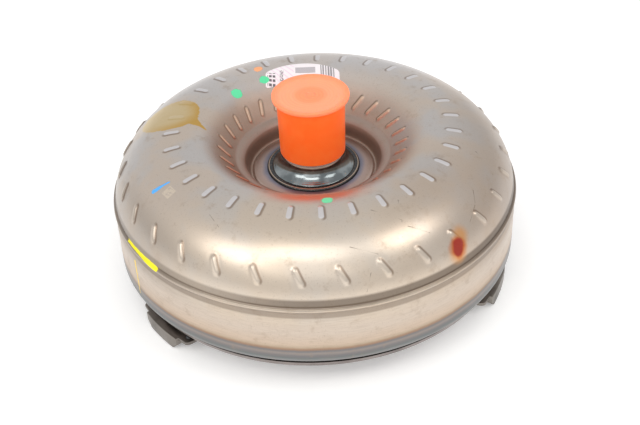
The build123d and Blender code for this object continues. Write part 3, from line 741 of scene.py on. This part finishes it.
def shell_finish():
    """All the layers of the shell's steel, joined to one shader."""
    f = Finish("shell_steel", 1.0, 0.36)
    grain = f.noise(0.9 * MM, 4)
    cloud = f.noise(38 * MM, 3)
    fray = f.noise(5 * MM, 4, 0.65)
    streak = f.noise(14 * MM, 4, 0.6, stretch=(1, 1, 0.22))
    smudge = f.noise(11 * MM, 5, 0.7)
    fine = f.noise(5 * MM, 4, 0.6, stretch=(0.5, 0.5, 6))
    band = f.radius.step(138.5 * MM, 139.3 * MM)
    base = steel_zones(f, cloud, streak)
    base = base.mix(rgb(168, 148, 128), smudge.step(0.54, 0.72) * 0.38)
    base = base.mix(rgb(140, 124, 110), grain.step(0.58, 0.74) * 0.36)
    # Fine streaks on the band, which is also painted darker overall as shade.
    base = base.mix(rgb(150, 132, 116), (0.35 + fine.step(0.40, 0.70) * 0.4) * band * 0.4)
    # Painted shade: a dark band above the rolled ridge, darker on the right.
    above = f.z.between(70.4 * MM, 74.4 * MM, 2.2 * MM) * f.radius.step(136.4 * MM, 137.4 * MM)
    base = base.mix(rgb(92, 80, 70), above * (0.45 + 0.3 * f.x.step(-90 * MM, 0.0)))
    # Painted shade on the neck under the ridge.
    neck = f.z.between(62.4 * MM, 65.6 * MM, 1.4 * MM) * f.radius.step(138.2 * MM, 138.8 * MM)
    base = base.mix(rgb(122, 108, 96), neck * 0.6)
    # Painted shade in the small groove above the ridge.
    groove = f.z.between(70.2 * MM, 70.9 * MM, 0.7 * MM) * f.radius.step(138.2 * MM, 138.6 * MM)
    base = base.mix(rgb(92, 76, 62), groove * 0.5)
    for ring, (top_colour, share) in zip(RINGS, RING_LOOKS):
        top, skirt = ring_masks(f, ring)
        # Painted shade beside each ridge, then its top painted lighter as a highlight.
        base = base.mix(rgb(112, 88, 70), skirt * 0.6)
        base = base.mix(top_colour, top * share)
    # The faint red tint on the roll is a painted reflection of the orange cap.
    base = varnish(f, painted_cap_reflection(f, base, fray), fray)
    base, rusty = rust_spot(f, base)
    lines = scratches(f, fray)
    base = base.mix(rgb(104, 92, 82), lines * 0.7)
    code = etched_code(f)
    base = base.mix(rgb(232, 218, 198), code * 0.55)
    paint, painted = paint_marks(f, fray)
    f.set("Base Color", base.mix(paint, painted))
    f.set("Metallic", 1 - painted.math("MAXIMUM", rusty * 0.8))
    rough = 0.34 + (grain - 0.5) * 0.12 + (smudge - 0.5) * 0.16 + code * 0.15
    rough = rough + f.radius.step(84 * MM, 70 * MM) * f.z.step(76 * MM, 84 * MM) * 0.18
    f.set("Roughness", rough + painted * 0.2 + rusty * 0.3 + lines * 0.15)
    f.bump(grain * 0.5 + fray * 0.4 + smudge * 0.6 - lines, 0.07 * MM, 0.4)
    return f.material


steel = shell_finish()
finished(
    "impeller_shell_drawn", shell_mesh, "housing", "shell_steel", steel, "impeller_shell", smooth=50
)

# %% [markdown]
# The hub's open end has two slots for the drive flats of the pump. Three cuts split the
# faces of the tube, the faces between the cuts go, and each gap gets two walls and a floor.

# %% Drive slots
def cut_slots(mesh, half_width, floor):
    """Cut a slot along X through both walls of a tube's open end."""
    bmesh.ops.bisect_plane(
        mesh, geom=mesh.verts[:] + mesh.edges[:] + mesh.faces[:], dist=1e-7,
        plane_co=(0, 0, floor), plane_no=(0, 0, 1),
    )
    for place in (half_width, -half_width):
        faces = [f for f in mesh.faces if f.calc_center_median().z > floor]
        parts = {e for f in faces for e in f.edges} | {v for f in faces for v in f.verts}
        bmesh.ops.bisect_plane(
            mesh, geom=faces + list(parts), dist=1e-7, plane_co=(0, place, 0), plane_no=(0, 1, 0)
        )
    middles = [(f, f.calc_center_median()) for f in mesh.faces]
    gone = [f for f, middle in middles if abs(middle.y) < half_width and middle.z > floor]
    bmesh.ops.delete(mesh, geom=gone, context="FACES")
    rim = {v for e in mesh.edges if e.is_boundary for v in e.verts}
    for side in (1, -1):
        near = [v for v in rim if v.co.x * side > 0]
        for up, place in ((1, half_width), (1, -half_width), (2, floor)):
            corners = [v for v in near if abs(v.co[up] - place) < 1e-6]
            middle = sum((v.co for v in corners), Vector()) / len(corners)
            corners.sort(key=lambda v: math.atan2(v.co[3 - up] - middle[3 - up], v.co.x - middle.x))
            mesh.faces.new(corners)
    bmesh.ops.recalc_face_normals(mesh, faces=mesh.faces)
    return mesh

# %% [markdown]
# The hub is turned from a forging, hardened and ground. Its neck is a hollow curve down to
# the foot that is welded in the well. It is dark with oil, so its mirror is deep and
# sharp, with brown varnish in the grooves.

# %% Finish: dark oiled steel
def oiled_steel(name, dark, light, roughness):
    """Hard steel under an oil film, brighter where it is rubbed."""
    f = Finish(name, 1.0, roughness)
    wear = f.noise(14 * MM, 3, 0.5)
    fine = f.noise(1.3 * MM, 3)
    ripple = f.noise(3 * MM, 3, 0.6, stretch=(1, 1, 0.3))
    base = f.colour(dark).mix(light, wear.step(0.44, 0.62) * 0.6)
    base = base.mix(rgb(206, 140, 60), fine.step(0.69, 0.73) * 0.9)
    # Painted highlight: the ring just under the cap is painted light and made less metallic.
    journal = f.z.step(91.7 * MM, 92.1 * MM)
    base = base.mix(rgb(236, 232, 226), journal)
    base = base.mix(rgb(214, 207, 200), f.z.between(90.7 * MM, 93.4 * MM, 0.4 * MM) * 0.8)
    f.set("Base Color", base)
    f.set("Metallic", 1 - f.z.between(91.2 * MM, 93.4 * MM, 0.4 * MM) * 0.6)
    f.set("Roughness", roughness + (wear - 0.5) * 0.14 + journal * 0.12)
    f.bump(ripple + fine * 0.2, 0.12 * MM, 0.3)
    return f.material


hub_material = oiled_steel("hub_steel", rgb(112, 118, 120), rgb(168, 174, 176), 0.15)
HUB_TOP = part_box("impeller_hub")[1].z / MM
HUB_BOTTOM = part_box("impeller_hub")[0].z / MM
neck = [
    (30.0 - 9.4 * math.cos(math.radians(a)), 91.6 - 9.4 * math.sin(math.radians(a)))
    for a in range(4, 72, 6)
]
hub_outline = [(17.5, HUB_BOTTOM), (17.5, HUB_TOP - 0.5), (18.0, HUB_TOP), (19.6, HUB_TOP)]
hub_outline += [(20.5, HUB_TOP - 1.0), (20.5, 93.0), (20.5, 92.2), (20.2, 91.9), (20.2, 91.6)]
hub_outline += neck
hub_outline += [(27.2, 82.5), (27.9, 82.35), (28.4, 81.9), (28.4, HUB_BOTTOM)]
hub_mesh = spin_outline(outline_ring([(r * MM, z * MM) for r, z in hub_outline]), 160)
finished(
    "pump_hub", cut_slots(hub_mesh, 4.5 * MM, (HUB_TOP - 8.1) * MM),
    "housing", "hub_steel", hub_material, "impeller_hub",
)

# %% [markdown]
# A weld bead is a row of overlapping pools. Spinning a rounded outline gives the bead, and
# a sine wave run round it gives the pools. The same helper makes the bead in the well and
# the one that closes the seam.


# %% Weld beads
def weld_finish():
    """Dark scaled weld metal, glossy where the oil has wetted it."""
    f = Finish("weld_metal", 0.75, 0.4)
    scale = f.noise(1.5 * MM, 5, 0.7)
    base = f.colour(rgb(62, 64, 66)).mix(rgb(112, 106, 98), scale.step(0.52, 0.70))
    # Painted highlight: a thin tan line round the well weld.
    line = f.radius.between(30.9 * MM, 31.2 * MM, 0.25 * MM) * f.z.step(70 * MM, 75 * MM)
    base = base.mix(rgb(196, 176, 156), line * 0.8)
    f.set("Base Color", base)
    f.set("Roughness", 0.18 + scale * 0.25)
    f.bump(scale, 0.12 * MM, 0.4)
    return f.material


def weld_bead(name, corners, pools, depth, replaced):
    """A bead from its outline, with pools pushed into its outside."""
    mesh = turned(corners, 0.5, 3, pools * 4)
    for vert in mesh.verts:
        angle = math.atan2(vert.co.y, vert.co.x)
        vert.co.z += depth * MM * math.sin(angle * pools)
    return finished(name, mesh, "housing", "weld", weld_metal, replaced)


weld_metal = weld_finish()
well_corners = [(28.2, 80.2), (32.5, 80.2), (31.9, 81.5), (30.2, 81.9), (28.3, 81.8)]
seam_corners = [(135.25, 23.6), (136.2, 24.2), (136.8, 25.3), (136.7, 25.65), (135.3, 24.75)]
weld_bead("well_weld", well_corners, 60, 0.05, "hub_weld")
weld_bead("seam_bead", seam_corners, 150, 0.04, "seam_weld")

# %% [markdown]
# The front cover is a drawn pot. Only its rim shows below the seam, but it is seen from
# below when the converter is lifted, so its stepped underside and the pilot are turned
# with real rounded corners.


# %% Front cover and pilot
def plain_steel(name, light, dark, roughness, shadow_band=None):
    """Drawn steel with cloudy tone and fine speckle, and a painted shadow band between two heights.
    """
    f = Finish(name, 1.0, roughness)
    cloud = f.noise(26 * MM, 4)
    speck = f.noise(1.0 * MM, 4)
    base = f.colour(light).mix(dark, cloud.step(0.42, 0.64))
    base = base.mix(rgb(120, 96, 76), speck.step(0.68, 0.78) * 0.5)
    # Painted shadow: a near-black band between the two heights.
    if shadow_band:
        base = base.mix(rgb(26, 23, 22), f.z.between(shadow_band[0] * MM, shadow_band[1] * MM, 0.3 * MM))
    f.set("Base Color", base)
    f.set("Roughness", roughness + (cloud - 0.5) * 0.14 + (speck - 0.5) * 0.08)
    f.bump(speck, 0.06 * MM, 0.4)
    return f.material


# The cover gets a painted shadow band under the skirt's lower edge.
cover_steel = plain_steel("cover_steel", rgb(150, 141, 138), rgb(124, 116, 113), 0.30, (20.8, 25.6))
cover_corners = [
    (136.7, 62.0), (136.7, 24.95), (135.2, 24.75), (135.2, 20.0), (134.2, 17.2), (132.2, 15.2),
    (129.2, 14.0), (92.0, 14.0), (88.5, 13.0), (85.5, 10.0), (82.0, 7.0), (12.0, 7.0),
    (12.0, 11.0), (80.0, 11.0), (84.0, 13.4), (87.0, 16.4), (90.5, 18.0), (130.2, 18.0),
    (132.2, 20.0), (132.2, 62.0),
]
finished(
    "front_cover_drawn", turned(cover_corners, 0.8, 3, 256),
    "housing", "cover_steel", cover_steel, "front_cover",
)
pilot_corners = [(0, 1.5), (17.0, 1.5), (17.0, 6.95), (11.95, 6.95), (11.95, 10.5), (0, 10.5)]
finished(
    "crank_pilot", turned(pilot_corners, 0.6, 3, 96),
    "housing", "cover_steel", cover_steel, "pilot_boss",
)

# %% [markdown]
# The lugs, their nuts and the balance weight are pressed and cut shapes that the
# engineering model already has. A copy of each is merged into one skin, and a bevel takes
# the sharp edge off, because a real stamping never has one.


# %% Pieces softened from the engineering model
def softened(name, node, body, slot, material, radius):
    """A copy of a CAD node with its edges rounded."""
    mesh = bmesh.new()
    mesh.from_mesh(frame["nodes"][node].data)
    bmesh.ops.remove_doubles(mesh, verts=mesh.verts, dist=1e-6)
    bmesh.ops.dissolve_limit(
        mesh, angle_limit=math.radians(1), verts=mesh.verts, edges=mesh.edges,
        use_dissolve_boundaries=False,
    )
    edges = [e for e in mesh.edges if e.is_manifold and e.calc_face_angle(0) > math.radians(30)]
    bmesh.ops.bevel(
        mesh, geom=edges, offset=radius * MM, offset_type="OFFSET", segments=2,
        profile=0.5, affect="EDGES", material=-1, clamp_overlap=True,
    )
    bmesh.ops.recalc_face_normals(mesh, faces=mesh.faces)
    return finished(name, mesh, body, slot, material, node)


lug_steel = plain_steel("lug_steel", rgb(140, 134, 128), rgb(104, 99, 94), 0.40)
softened("stamped_lugs", "mounting_lugs", "housing", "lug_steel", lug_steel, 0.5)
softened("weld_nuts", "lug_nuts", "housing", "lug_steel", lug_steel, 0.35)
softened("balance_plate", "balance_weight", "housing", "lug_steel", lug_steel, 0.3)

# %% [markdown]
# The cap is soft moulded plastic. Light goes a little way into it and comes back orange,
# so it has some subsurface scattering, and a faint glow in its own colour is painted on
# as emission. Its top is slightly dished, with faint rings from the turned mould and a
# small round gate mark, and it is painted lighter as a highlight.


# %% Transport cap
def cap_plastic():
    """Bright orange plastic with a faint moulded texture."""
    # Painted light: the cap glows a little in its own colour.
    glow = {"Subsurface_Weight": 0.3, "Subsurface_Scale": 4 * MM, "Emission_Strength": 0.30}
    f = Finish("cap_plastic", 0.0, 0.38, **glow)
    f.shader.inputs["Subsurface Radius"].default_value = (1.0, 0.35, 0.1)
    cloud = f.noise(9 * MM, 3)
    rings = (f.radius * (2 * math.pi / (2.4 * MM))).math("SINE")
    # Painted highlight: the top, and a ring near its edge, are painted lighter.
    on_top = f.z.step(134.2 * MM, 135.4 * MM)
    base = f.colour(rgb(255, 103, 38)).mix(rgb(255, 120, 54), cloud.step(0.4, 0.65) * 0.3)
    base = base.mix(rgb(255, 142, 102), on_top * 0.8)
    dish = on_top * f.radius.between(13 * MM, 20.5 * MM, 5 * MM)
    base = base.mix(rgb(255, 176, 142), dish * 0.28)
    f.set("Base Color", base)
    f.set("Emission Color", base)
    f.set("Roughness", 0.36 + (cloud - 0.5) * 0.12 + on_top * 0.1)
    f.bump(rings * on_top * 0.5 + f.noise(0.5 * MM, 2) * 0.3, 0.12 * MM, 0.5)
    return f.material


cap_low, cap_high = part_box("transport_cap")
CAP_BOTTOM = cap_low.z / MM
CAP_TOP = cap_high.z / MM
CAP_FLANGE = cap_high.x / MM
cap_corners = [
    (20.58, CAP_BOTTOM), (22.4, CAP_BOTTOM), (23.1, CAP_TOP - 4.4), (23.9, CAP_TOP - 3.2),
    (CAP_FLANGE - 0.1, CAP_TOP - 2.4), (CAP_FLANGE, CAP_TOP), (23.6, CAP_TOP),
    (22.2, CAP_TOP - 0.9), (3.4, CAP_TOP - 1.15), (2.9, CAP_TOP - 0.7), (0, CAP_TOP - 0.7),
    (0, HUB_TOP + 1.2), (20.58, HUB_TOP + 1.2),
]
finished(
    "orange_cap", turned(cap_corners, 0.45, 3, 128), "cap", "cap_plastic", cap_plastic(),
    "transport_cap",
)

# %% [markdown]
# The label is an arched paper sticker pressed onto the crest. A grid is bent between its
# inner and outer curves, dropped onto the drawn surface point by point, and given a thin
# body. Its printing is made of plain bars and blocks.


# %% Label
def label_paper():
    """White paper with a frame, bars and blocks that stand for print."""
    f = Finish("label_paper", 0.0, 0.5)
    x, y = f.x / MM, f.y / MM
    cloud = f.noise(12 * MM, 3)
    base = f.colour(rgb(250, 247, 249)).mix(rgb(238, 230, 235), cloud)
    slant = f.wave(f.x + f.y, 5 * MM).step(0.5, 0.8)
    base = base.mix(rgb(236, 198, 226), slant * x.between(-31, -12, 0.5) * 0.5)
    window = x.between(-10.5, 4, 0.2) * y.between(76.6, 82, 0.2)
    hatch = f.wave(f.y, 0.8 * MM).step(-0.4, 0.4)
    base = base.mix(rgb(150, 146, 152), window * (0.45 + 0.45 * hatch))
    bars = (f.wave(f.x, 1.9 * MM) + f.wave(f.x, 0.83 * MM)).step(-0.1, 0.2)
    bars = bars * x.between(8, 18.6, 0.15) * y.between(60, 84, 0.3)
    blocks = f.wave(f.y, 3.6 * MM).step(-0.5, 0.0) * f.wave(f.x, 2.7 * MM).step(-0.85, -0.5)
    blocks = blocks * x.between(-31, -25.5, 0.2) * y.between(61, 76, 0.2)
    small = f.noise(0.6 * MM, 1).step(0.48, 0.54)
    small = small * x.between(-22, -19.5, 0.2) * y.between(66, 79, 0.2)
    ink = bars.math("MAXIMUM", blocks).math("MAXIMUM", small)
    base = base.mix(rgb(40, 34, 40), ink * 0.85)
    dot = f.near(on_dome(-33.4, 69.6), 3.7 * MM, 0.3 * MM, f.noise(5 * MM, 4, 0.65))
    f.set("Base Color", base.mix(GREEN_PAINT, dot))
    f.set("Roughness", 0.5 + (cloud - 0.5) * 0.2)
    return f.material


label_low, label_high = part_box("identity_label")
LABEL_CURVE = 40.0 * MM
LABEL_INNER = 70.2 * MM
LABEL_X = (label_low.x + label_high.x) / 2
LABEL_HALF = (label_high.x - label_low.x) / 2
label_mesh = bmesh.new()
bmesh.ops.create_grid(label_mesh, x_segments=54, y_segments=16, size=0.5)
for vert in label_mesh.verts:
    across, up = 2 * vert.co.x, vert.co.y + 0.5
    x = LABEL_X + across * LABEL_HALF * 0.998
    top = label_high.y - LABEL_CURVE + math.sqrt(LABEL_CURVE ** 2 - (x - LABEL_X) ** 2)
    bottom = math.sqrt(LABEL_INNER ** 2 - x * x)
    corner = max(0.0, abs(across) - 0.93) / 0.07
    trim = 1.6 * MM * (1 - math.sqrt(max(0.0, 1 - corner * corner)))
    y = (bottom + trim) * (1 - up) + (top - trim) * up
    vert.co = (x, y, dome_point(math.hypot(x, y))[1] + 0.05 * MM)
sheet = bmesh.ops.extrude_face_region(label_mesh, geom=label_mesh.faces[:])
lifted = [g for g in sheet["geom"] if isinstance(g, bmesh.types.BMVert)]
bmesh.ops.translate(label_mesh, vec=(0, 0, 0.12 * MM), verts=lifted)
bmesh.ops.recalc_face_normals(label_mesh, faces=label_mesh.faces)
finished(
    "paper_label", label_mesh, "housing", "label_paper", label_paper(), "identity_label"
)

# %% [markdown]
# The pieces inside keep the engineering model's shapes and are given their metals here:
# pressed steel, ground bearing steel, blued spring steel, die-cast aluminium, friction
# paper and rubber.


# %% Finishes of the pieces inside
def cast_metal():
    """Die-cast aluminium with a sandy skin."""
    f = Finish("cast_aluminium", 1.0, 0.45)
    sand = f.noise(0.8 * MM, 4)
    f.set("Base Color", f.colour(rgb(204, 204, 202)).mix(rgb(160, 160, 158), sand.step(0.5, 0.7)))
    f.set("Roughness", 0.38 + sand * 0.2)
    f.bump(sand, 0.1 * MM, 0.6)
    return f.material


def friction_paper():
    """Brown pressed paper with radial oil grooves."""
    f = Finish("friction_paper", 0.0, 0.8)
    fibre = f.noise(0.7 * MM, 5, 0.7)
    f.set("Base Color", f.colour(rgb(96, 66, 44)).mix(rgb(60, 40, 28), fibre))
    f.set("Roughness", 0.7 + fibre * 0.2)
    f.bump(fibre, 0.15 * MM, 0.7)
    return f.material


def seal_rubber():
    """Black moulded rubber."""
    f = Finish("seal_rubber", 0.0, 0.55)
    bloom = f.noise(2 * MM, 3)
    f.set("Base Color", f.colour(rgb(30, 30, 30)).mix(rgb(56, 54, 52), bloom))
    f.set("Roughness", 0.45 + bloom * 0.25)
    return f.material


inside = {
    "inner_steel": plain_steel("pressed_steel", rgb(186, 186, 188), rgb(152, 150, 150), 0.34),
    "bearing_steel": plain_steel("bearing_steel", rgb(214, 214, 216), rgb(186, 186, 190), 0.16),
    "spring_steel": oiled_steel("spring_steel", rgb(84, 92, 110), rgb(132, 138, 150), 0.26),
    "cast_aluminium": cast_metal(),
    "friction_paper": friction_paper(),
    "seal_rubber": seal_rubber(),
    "weld": weld_metal,
}
slots = {s["node"]: s["material_slot"] for s in frame["record"]["subparts"]}
for node, piece in frame["nodes"].items():
    if slots[node] in inside:
        piece.data.materials.clear()
        piece.data.materials.append(inside[slots[node]])
print("dressed", sum(slots[n] in inside for n in frame["nodes"]), "inner pieces")

# %% [markdown]
